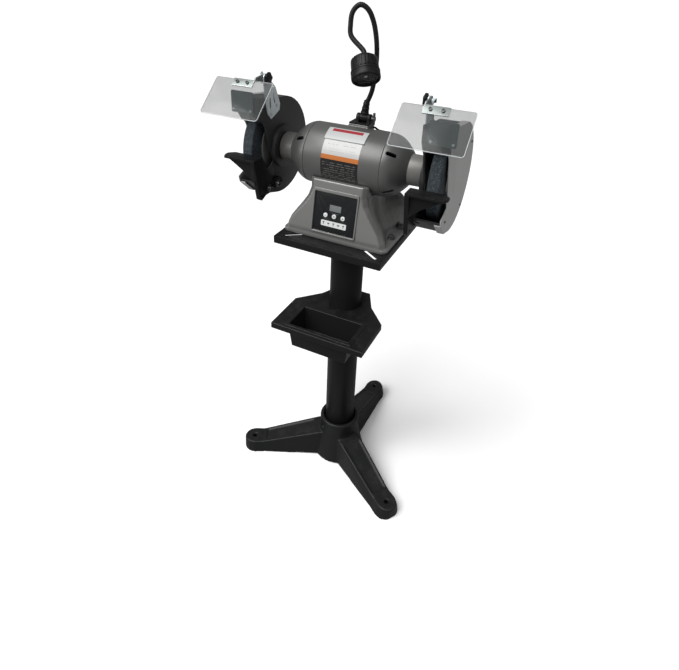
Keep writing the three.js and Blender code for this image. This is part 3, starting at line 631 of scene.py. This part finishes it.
def dress_all():
    # The second finish in these calls is the painted highlight on the rounded edges.
    dress("stand_column", satin_black, black_edge_highlight, 0.5)
    dress("column_set_screw", black_steel, None, 0.6)
    dress("column_bolt", black_steel, None, 0.9)
    dress("top_plate", satin_black, black_edge_highlight, 1.3, 3)
    dress("tool_tray", satin_black, black_edge_highlight, 1.1, 3)
    dress("water_pan", satin_black, black_edge_highlight, 1.4, 3)
    dress("bottom_cover", black_steel)
    dress("panel_face", panel_black, None, 0.3)
    dress("display_window", display_grey, None, 0.3)
    dress("control_board", board)
    dress("cord_gland", black_plastic, None, 0.6)
    dress("motor_shell", gunmetal, gunmetal_edge_highlight, 1.0, 3)
    dress("stator", winding)
    dress("rotor", steel)
    dress("spindle_shaft", steel, None, 0.5)
    dress("lamp_base", black_plastic, None, 0.9, 3)
    dress("lamp_lead", lamp_rubber, None, 0.2, 2, 60)
    dress("lamp_wing_screw", black_steel, None, 0.8)
    dress("lamp_lens", lens_clear, None, 0.4)
    for name in ("minus", "power", "plus"):
        dress(f"{name}_button", cap_white, None, 0.35)
    for side in SIDES:
        dress(f"bearing_{side}", steel)
        dress(f"inner_flange_{side}", steel, None, 0.7, 3)
        dress(f"outer_flange_{side}", steel, None, 0.5)
        dress(f"spindle_nut_{side}", steel, None, 0.5)
        dress(f"inner_guard_{side}", guard_black, black_edge_highlight, 0.9, 3)
        dress(f"spark_arrestor_{side}", zinc_dull, None, 0.5)
        dress(f"tool_rest_{side}", satin_black, black_edge_highlight, 1.0, 3)
        dress(f"rest_bolt_{side}", black_steel, None, 0.5)
        dress(f"shield_pane_{side}", pane_clear, pane_edge_highlight, 0.7, 2)
        dress(f"shield_clamp_{side}", zinc_grey, zinc_edge_highlight, 0.5)
        dress(f"shield_bracket_{side}", zinc, zinc_edge_highlight, 0.35)
        dress(f"shield_knob_{side}", black_plastic, None, 0.9, 3)
        for end in ("front", "back"):
            dress(f"foot_bolt_{side}_{end}", black_steel, None, 0.5)


# ---------- castings ----------
def cast(node, name, voxel, passes):
    """A casting from a model node: an even skin whose corners flow into each other."""
    piece = merged_copy(node, name)
    modify(piece, "REMESH", mode="VOXEL", voxel_size=voxel * MM)
    modify(piece, "SMOOTH", factor=0.5, iterations=passes)
    smooth(piece, 60)
    return piece


def make_castings():
    base = cast("stand_base", "base_casting", 2.3, 5)
    fit(base, "frame", "black_paint", cast_black, stands_for=("stand_base",))
    pedestal = cast("pedestal", "pedestal_casting", 1.7, 5)
    fit(pedestal, "frame", "grey_paint", pedestal_grey, stands_for=("pedestal",))


BELL_SKIN = (
    (93.4, 70.9), (94.4, 72), (98, 71.5), (102, 70.6), (106, 69.3), (110, 67.5), (114, 65.2), (118, 62.4),
    (122, 59.3), (126, 55.9), (130, 52.2), (134, 48), (137, 44.6), (140, 41.1), (142.4, 38.2), (144, 36.4),
    (144.6, 35.5), (146, 35.1), (175.6, 34.6), (176.6, 34.1), (177, 33.2),
)
BELL_HOLLOW = (
    (177, 12), (172.8, 12), (172.8, 21.4), (156, 21.4), (138, 28), (120, 50), (93.4, 66), (93.4, 70.9),
)
VENT_TURNS = (50, 130, 230, 310)
BELL_NECK_FROM = 145.2


def make_end_bells():
    bell = turned("end_bell_casting_right", BELL_SKIN + BELL_HOLLOW, 144)
    for turn in VENT_TURNS:
        vent = block("vent_cutter", 100, 122, -4.5, 4.5, 42, 90)
        round_edges_along(vent, 2, 4.3, 8)
        place(vent, Matrix.Rotation(math.radians(turn), 4, "X"))
        carve(bell, vent)
    ease(bell, 0.5, 2, 38)
    place(bell, Matrix.Translation(SPINDLE))
    smooth(bell)
    for side in SIDES:
        piece = bell if side == "right" else mirrored(bell, "end_bell_casting_left")
        smooth(piece)
        fit(piece, "frame", "grey_paint", gunmetal, neck_grey, stands_for=(f"end_bell_{side}",))
        for face in piece.data.polygons:
            face.material_index = int(abs(face.center.x) / MM > BELL_NECK_FROM)


def make_wheels():
    a, b = WHEEL_X - WHEEL_HALF_WIDTH, WHEEL_X + WHEEL_HALF_WIDTH
    profile = (
        (a, 8), (a, 52), (a + 0.8, 53), (a + 0.8, 78), (a, 79.5), (a, WHEEL_R - 1.6), (a + 1.6, WHEEL_R),
        (b - 1.6, WHEEL_R), (b, WHEEL_R - 1.6), (b, 79.5), (b - 0.8, 78), (b - 0.8, 53), (b, 52), (b, 8),
        (a, 8),
    )
    wheel = turned("wheel_right", profile, 180)
    place(wheel, Matrix.Translation(SPINDLE))
    for side in SIDES:
        piece = wheel if side == "right" else mirrored(wheel, "wheel_left")
        smooth(piece, 25)
        fit(piece, "spindle", "abrasive", abrasive, wheel_rim_highlight, stands_for=(f"grinding_wheel_{side}",))
        # Faces on the outer side next to the rim take the second finish, a painted highlight.
        for face in piece.data.polygons:
            reach = math.hypot(face.center.y - SPINDLE.y, face.center.z - SPINDLE.z) / MM
            outer_side = abs(face.center.x) / MM > WHEEL_X + 11.9
            face.material_index = int(outer_side and reach > WHEEL_R - 1.4)


OPENING_EDGE = (
    (-44, -27), (-47, -18), (-51, -9), (-55, 1), (-59, 10), (-63, 20), (-66, 29), (-70, 40), (-73, 51),
    (-76, 61), (-82, 71), (-88, 80),
)
COVER_FACE = 250
COVER_PLATE_FROM = 236
DISH_REACHES = (26, 22, 18, 14, 10, 6)
DISH_STEP = 1.2


def make_guard_covers():
    """The outer covers: pressed sheet whose front edge is dished in towards the wheel."""
    cover = merged_copy("guard_cover_right", "cover_pressing_right")
    modify(cover, "REMESH", mode="VOXEL", voxel_size=1.25 * MM)
    edge = [spot(COVER_FACE, y, z) for y, z in OPENING_EDGE]

    for reach in DISH_REACHES:
        def beside_opening(centre, normal):
            near = min((centre.yz - point.yz).length for point in edge)
            return centre.x > SPINDLE.x + COVER_PLATE_FROM * MM and near < reach * MM

        start_edit(cover, beside_opening)
        bpy.ops.transform.translate(value=(-DISH_STEP * MM, 0, 0))
        end_edit()
    modify(cover, "SMOOTH", factor=0.5, iterations=6)
    for side in SIDES:
        piece = cover if side == "right" else mirrored(cover, "cover_pressing_left")
        smooth(piece, 50)
        fit(piece, "frame", "cover_paint", cover_grey, stands_for=(f"guard_cover_{side}",))


# ---------- lamp ----------
HEAD_AXIS = Vector((0.37, -0.513, -0.775)).normalized()
HEAD_BACK = Vector((18, -9, 227))
NECK_ROUTE = (
    (9, 35, 96), (12, 35, 118), (24, 35, 152), (30, 33, 200), (30, 30, 245), (23, 26, 286),
    (11, 20, 313.6), (-6, 14, 323.2), (-20, 9, 309), (-22, 5, 284), (-17, 2, 262),
)
SLEEVE_SKIN = (
    (0, 9.2), (2.5, 9.6), (5, 9.6), (6, 8.8), (12, 8.2), (13, 8.6), (15, 8.6), (16, 7.8), (22, 7.2), (23, 7.6),
    (25, 7.6), (26, 6.9), (31, 6.5), (32, 6),
)
HEAD_SKIN = (
    (0, 8), (0, 14.5), (1.2, 16.5), (3, 21), (5, 24), (8, 26.4), (12, 27.3), (30, 27.6), (32, 27.4),
    (33, 29.8), (34.6, 31), (37, 31), (38.2, 30), (40.5, 29.8), (41.5, 31), (50.5, 31), (52.6, 30.3),
    (54, 28.8), (54, 26.4), (46, 26), (45.8, 25.2), (46, 8), (20, 8), (20, 6.2), (0, 6.2), (0, 8),
)
CUP_SKIN = (
    (46.05, 4), (46.05, 7), (46.4, 12), (46.1, 12.6), (46.5, 18), (46.2, 18.6), (46.6, 25), (46.02, 25),
    (46.02, 4), (46.05, 4),
)
GRIP_RIBS = 24


def neck_line(step):
    """Points along the gooseneck, in metres, a step in millimetres apart."""
    knots = [spot(*p) for p in NECK_ROUTE]
    knots += [spot(*(HEAD_BACK - HEAD_AXIS * 14)), spot(*(HEAD_BACK - HEAD_AXIS * 0.5))]
    knots = [knots[0] * 2 - knots[1], *knots, knots[-1] * 2 - knots[-2]]
    dense = []
    for a, b, c, d in zip(knots, knots[1:], knots[2:], knots[3:]):
        for i in range(60):
            t = i / 60
            dense.append(0.5 * (2 * b + (c - a) * t + (2 * a - 5 * b + 4 * c - d) * t * t
                                + (3 * b - a - 3 * c + d) * t ** 3))
    dense.append(knots[-2])
    line, left = [dense[0]], step * MM
    for start, end in zip(dense, dense[1:]):
        span = (end - start).length
        while span >= left and span > 0:
            start = start.lerp(end, left / span)
            line.append(start)
            span = (end - start).length
            left = step * MM
        left -= span
    return line


def make_neck():
    """The sleeved gooseneck: a tube with a fine ribbed skin, and its moulded root with a stepped sleeve."""
    curve = bpy.data.curves.new("neck_curve", "CURVE")
    curve.dimensions = "3D"
    curve.bevel_depth = 5.5 * MM
    curve.bevel_resolution = 7
    curve.use_fill_caps = True
    line = neck_line(1.1)
    spline = curve.splines.new("POLY")
    spline.points.add(len(line) - 1)
    for i, (point, at) in enumerate(zip(spline.points, line)):
        point.co = (*at, 1)
        point.radius = 1.0 if i % 3 else 0.93
    tube = bpy.data.objects.new("neck_tube", curve)
    bpy.context.scene.collection.objects.link(tube)
    select_only(tube)
    bpy.ops.object.convert(target="MESH")
    tube = bpy.context.object
    tube.name = "neck_tube"
    smooth(tube, 60)
    fit(tube, "lamp", "lamp_rubber", lamp_rubber)

    sleeve = turned("neck_sleeve", SLEEVE_SKIN, 48)
    lean = Matrix.Rotation(math.radians(8), 4, "Y") @ Matrix.Rotation(math.radians(-90), 4, "Y")
    place(sleeve, Matrix.Translation(spot(9, 35, 96)) @ lean)
    smooth(sleeve)
    fit(sleeve, "lamp", "lamp_rubber", lamp_rubber)

    root = block("neck_root", -0.6, 18.6, -9, 9, -9, 10)
    round_edges_along(root, 0, 8.9, 10)
    eye = turned("eye_cutter", ((-5, 3.5), (25, 3.5)), 32)
    carve(root, eye)
    ease(root, 0.7, 2)
    place(root, Matrix.Translation(spot(0, 35, 88)))
    smooth(root)
    fit(root, "lamp", "lamp_rubber", black_plastic, stands_for=("lamp_neck",))


def head_place(along=0.0):
    turn = Vector((1, 0, 0)).rotation_difference(HEAD_AXIS).to_matrix().to_4x4()
    return Matrix.Translation(spot(*(HEAD_BACK + HEAD_AXIS * along))) @ turn


def make_lamp_head():
    """Ribbed grip, flanged collar, bezel, stepped reflector and the diode at its middle."""
    head = turned("lamp_head_shell", HEAD_SKIN, 144)

    def rib(centre, normal):
        turn = math.atan2(centre.y, centre.z) / (2 * math.pi) * GRIP_RIBS
        reach = math.hypot(centre.y, centre.z)
        return 7.5 * MM < centre.x < 31 * MM and reach > 25 * MM and turn % 1 < 0.5

    start_edit(head, rib)
    bpy.ops.mesh.extrude_region_shrink_fatten(TRANSFORM_OT_shrink_fatten={"value": 1.7 * MM})
    end_edit()
    ease(head, 0.35, 2, 40)
    place(head, head_place())
    smooth(head)
    fit(head, "lamp", "black_plastic", black_plastic, stands_for=("lamp_head",))

    cup = turned("lamp_reflector_cup", CUP_SKIN, 72)
    place(cup, head_place(-0.3))
    smooth(cup)
    fit(cup, "lamp", "lamp_lens", reflector)
    diode = turned("lamp_diode", ((45.4, 3.6), (45.9, 3.6), (46, 2.8), (46.05, 1.2)), 32)
    place(diode, head_place(-0.1))
    smooth(diode)
    fit(diode, "lamp", "lamp_lens", cap_white)


# ---------- prints and plates on the motor ----------
def wrapped(name, x0, x1, low, high, radius, thick, corner):
    """A thin plate that follows the motor shell between two angles above the front, in degrees."""
    bpy.ops.object.select_all(action="DESELECT")
    bpy.ops.mesh.primitive_cylinder_add(vertices=720, radius=radius * MM, depth=(x1 - x0) * MM,
                                        end_fill_type="NOTHING", location=((x0 + x1) / 2 * MM, 0, 0),
                                        rotation=(0, math.pi / 2, 0))
    piece = bpy.context.object
    piece.name = name
    bpy.ops.object.transform_apply(location=True, rotation=True, scale=True)

    def elsewhere(centre, normal):
        return not low < math.degrees(math.atan2(centre.z, -centre.y)) < high

    start_edit(piece, elsewhere)
    bpy.ops.mesh.delete(type="FACE")
    bpy.ops.mesh.select_all(action="SELECT")
    bpy.ops.mesh.normals_make_consistent(inside=False)
    end_edit()
    modify(piece, "SOLIDIFY", thickness=thick * MM, offset=1)
    ends = (low + 0.5, high - 0.5)

    def corner_edge(a, b):
        middle = (a + b) / 2
        turn = math.degrees(math.atan2(middle.z, -middle.y))
        across = abs(a.x - b.x) < 1e-7 and abs(a.yz.length - b.yz.length) > thick * MM / 2
        return across and not ends[0] < turn < ends[1]

    if corner:
        start_edge_edit(piece, corner_edge)
        bpy.ops.mesh.bevel(offset=corner * MM, segments=6, affect="EDGES")
        end_edit()
    outward(piece)
    place(piece, Matrix.Translation(SPINDLE))
    smooth(piece)
    return piece


def make_plates():
    rating = wrapped("rating_plate", -47, 44, -27.5, 46.5, SHELL_R + 0.05, 0.12, 0)
    fit(rating, "frame", "silver_button", label)
    name_plate = wrapped("name_plate", -49, 47.5, 46.5, 73.5, SHELL_R + 0.2, 2.3, 4)
    ease(name_plate, 0.35, 2, 50)
    smooth(name_plate)
    fit(name_plate, "frame", "zinc", plate_silver)
    bar = wrapped("name_plate_bar", -38, 36, 63.8, 70.8, SHELL_R + 2.5, 0.12, 0)
    fit(bar, "frame", "silver_button", ink_red)


# ---------- control panel prints ----------
PANEL_PLACE = Matrix.Translation(spot(0, -80, SEAT + 116)) @ Matrix.Rotation(PANEL_TILT, 4, "X")
PANEL_FRONT = 1.4
CAP_FRONT = -1.0
BUTTON_Z = -53
BUTTON_PITCH = 22
ICONS = 5
ICON_X = -25.5
ICON_PITCH = 12.6
MARK_REACH = 2.2
MARK_HALF_WIDTH = 0.45


def panel_print(name, x0, x1, z0, z1, front, thick, corner, body, slot, finish):
    piece = block(name, x0, x1, front - thick, front, z0, z1)
    if corner:
        round_edges_along(piece, 1, corner, 5)
    place(piece, PANEL_PLACE)
    smooth(piece)
    return fit(piece, body, slot, finish)


def panel_ring(name, x, z, radius, width, front, body):
    inner = radius - width
    profile = ((-0.05, inner), (-0.05, radius), (0.02, radius), (0.02, inner), (-0.05, inner))
    piece = turned(name, profile, 40)
    turn = Matrix.Translation(Vector((x, front, z)) * MM) @ Matrix.Rotation(math.pi / 2, 4, "Z")
    place(piece, PANEL_PLACE @ turn)
    smooth(piece)
    return fit(piece, body, "panel_black", ink_black)


def make_bezel():
    """The raised grey frame that the casting carries round the control panel."""
    bezel = block("panel_bezel", -57, 57, -2.2, 2.5, -97.5, 8)
    round_edges_along(bezel, 1, 5, 6)
    opening = block("opening_cutter", -53.2, 53.2, -9, 9, -94.3, 0.3)
    round_edges_along(opening, 1, 2, 5)
    carve(bezel, opening)
    ease(bezel, 0.9, 3)
    place(bezel, PANEL_PLACE)
    smooth(bezel)
    fit(bezel, "frame", "grey_paint", pedestal_grey)


def make_panel():
    """The icon strip, the mask round the display, five plain icons and the marks on the buttons."""
    panel_print("icon_strip", -32, 32, -79, -65.5, PANEL_FRONT - 0.02, 0.25, 2.2, "frame", "silver_button",
                strip_silver)
    mask = block("display_mask", -18, 19, PANEL_FRONT - 0.14, PANEL_FRONT - 0.02, -45, -23)
    opening = block("mask_cutter", -14, 15, -3, 3, -41.5, -26.5)
    carve(mask, opening)
    place(mask, PANEL_PLACE)
    fit(mask, "frame", "panel_black", panel_black)
    icon = dict(front=PANEL_FRONT - 0.27, body="frame", slot="panel_black", finish=ink_black)
    for i in range(ICONS):
        x = ICON_X + i * ICON_PITCH
        low, high = (-76, -68.8) if i % 2 == 0 else (-75, -70)
        wide = 2.6 if i % 2 == 0 else 3.4
        panel_print(f"icon_{i}_stem", x - 0.7, x + 0.7, low, high, thick=0.1, corner=0, **icon)
        panel_print(f"icon_{i}_head", x - wide, x + wide, high - 2.4, high - 0.6, thick=0.12, corner=0.8,
                    **icon)
    dash = dict(thick=0.12, corner=0, slot="panel_black", finish=ink_black)
    left, right = -BUTTON_PITCH, BUTTON_PITCH
    low, high = BUTTON_Z - MARK_HALF_WIDTH, BUTTON_Z + MARK_HALF_WIDTH
    panel_print("minus_mark", left - MARK_REACH, left + MARK_REACH, low, high, CAP_FRONT - 0.02,
                body="minus_button", **dash)
    panel_print("plus_mark_bar", right - MARK_REACH, right + MARK_REACH, low, high, CAP_FRONT - 0.02,
                body="plus_button", **dash)
    panel_print("plus_mark_post", right - MARK_HALF_WIDTH, right + MARK_HALF_WIDTH, BUTTON_Z - MARK_REACH,
                BUTTON_Z + MARK_REACH, CAP_FRONT - 0.03, body="plus_button", **dash)
    panel_print("power_mark_post", -0.4, 0.4, BUTTON_Z, BUTTON_Z + 2.8, CAP_FRONT - 0.03,
                body="power_button", **dash)
    panel_ring("power_mark_ring", 0, BUTTON_Z, 2.3, 0.7, CAP_FRONT - 0.02, "power_button")


# ---------- fasteners and small fittings ----------
def socket_screw(name, radius, height, key):
    """A socket screw's head, its top facing +X and its seat at the origin."""
    head = turned(name, ((0, radius), (height, radius), (height, radius * 0.5)), 40)
    key_hole = turned("key_cutter", ((height * 0.35, key), (height + 1, key)), 6)
    carve(head, key_hole)
    ease(head, radius * 0.12, 2)
    smooth(head)
    return head


def facing(direction, at):
    turn = Vector((1, 0, 0)).rotation_difference(Vector(direction)).to_matrix().to_4x4()
    return Matrix.Translation(at) @ turn


PANE_DOWN = Vector((0, -math.sin(PANE_TILT), -math.cos(PANE_TILT)))
PANE_OUT = Vector((0, math.cos(PANE_TILT), -math.sin(PANE_TILT)))
BRACKET_FACE = 184.5
KNOB_SEAT = 191.2
CLAMP_SCREWS_X = (203, 228)
ARRESTOR_SCREWS_X = (207, 252)
BRACKET_SCREWS = ((-30, 103), (-53, 87))
COVER_SCREWS = ((84, 60), (60, -84), (-72, -74))


def on_pane(x, down, out):
    return spot(x, *PANE_MIDDLE) + (PANE_DOWN * down + PANE_OUT * out) * MM


def wing_nut():
    """A pattern of a wing nut: a turned hub whose sides are drawn out into two wings."""
    wing = turned("wing_nut_pattern", ((0, 5.2), (1.5, 5.2), (4.6, 4), (6, 3.9), (6, 3.1)), 24)
    start_edit(wing, lambda centre, normal: abs(centre.z) < 2.4 * MM and 1.5 * MM < centre.x < 4.6 * MM)
    for step, grow in ((2.4, 0.9), (4, 1.15), (2.2, 0.7)):
        bpy.ops.mesh.extrude_region_shrink_fatten(TRANSFORM_OT_shrink_fatten={"value": step * MM})
        bpy.ops.transform.resize(value=(grow, 1, grow), center_override=(3 * MM, 0, 0))
    end_edit()
    ease(wing, 0.5, 2)
    smooth(wing)
    return wing


def fasten(pattern, name, direction, at, body, slot, finish):
    """Puts a copy of a pattern at a place, its top facing the way given."""
    piece = copied(pattern, name, facing(direction, at))
    smooth(piece)
    fit(piece, body, slot, finish)


def make_screws():
    screw = socket_screw("clamp_screw_pattern", 3.6, 3.4, 1.9)
    small = socket_screw("small_screw_pattern", 2.6, 1.8, 1.3)
    wing = wing_nut()
    for side in SIDES:
        sign = 1 if side == "right" else -1
        outward_x, inward_x = (sign, 0, 0), (-sign, 0, 0)
        shield, arrestor = f"shield_{side}", f"spark_arrestor_{side}"
        for i, x in enumerate(CLAMP_SCREWS_X):
            fasten(screw, f"clamp_screw_{side}_{i}", -PANE_OUT, on_pane(sign * x, 10, -6.15), shield,
                   "black_plastic", black_steel)
        for i, at in enumerate(BRACKET_SCREWS):
            fasten(small, f"bracket_screw_{side}_{i}", inward_x, spot(sign * BRACKET_FACE, *at), "frame",
                   "zinc", zinc)
        for i, x in enumerate(ARRESTOR_SCREWS_X):
            fasten(small, f"arrestor_screw_{side}_{i}", (0, -1, 0), spot(sign * x, -103.5, 101), arrestor,
                   "zinc", zinc)
        for i, at in enumerate(COVER_SCREWS):
            fasten(small, f"cover_screw_{side}_{i}", outward_x, spot(sign * (COVER_FACE + 0.05), *at),
                   "frame", "black_steel", black_steel)
        fasten(wing, f"pivot_wing_nut_{side}", outward_x, spot(sign * KNOB_SEAT, *SHIELD_PIVOT), shield,
               "zinc", zinc)
        bolt = merged_copy(f"rest_bolt_{side}", f"rest_bolt_rear_{side}")
        place(bolt, Matrix.Translation((0, REST_BOLT_STEP * MM, 0)))
        ease(bolt, 0.5, 2)
        smooth(bolt)
        fit(bolt, "frame", "black_steel", black_steel)
    for pattern in (screw, small, wing):
        bpy.data.objects.remove(pattern)


def make_lead_grommet():
    out = Vector((0, 0.874, 0.485))
    ring = ((-0.3, 2.7), (-0.3, 6), (0.8, 5.9), (2.6, 4.4), (3.4, 3.4), (3.4, 2.7), (-0.3, 2.7))
    grommet = turned("lead_grommet", ring, 36)
    place(grommet, facing(out, spot(84, *(out.yz * 72.2))))
    smooth(grommet)
    fit(grommet, "frame", "lamp_rubber", lamp_rubber)


set_camera()
studio()
dress_all()
make_castings()
make_end_bells()
make_wheels()
make_guard_covers()
make_neck()
make_lamp_head()
make_plates()
make_bezel()
make_panel()
make_screws()
make_lead_grommet()
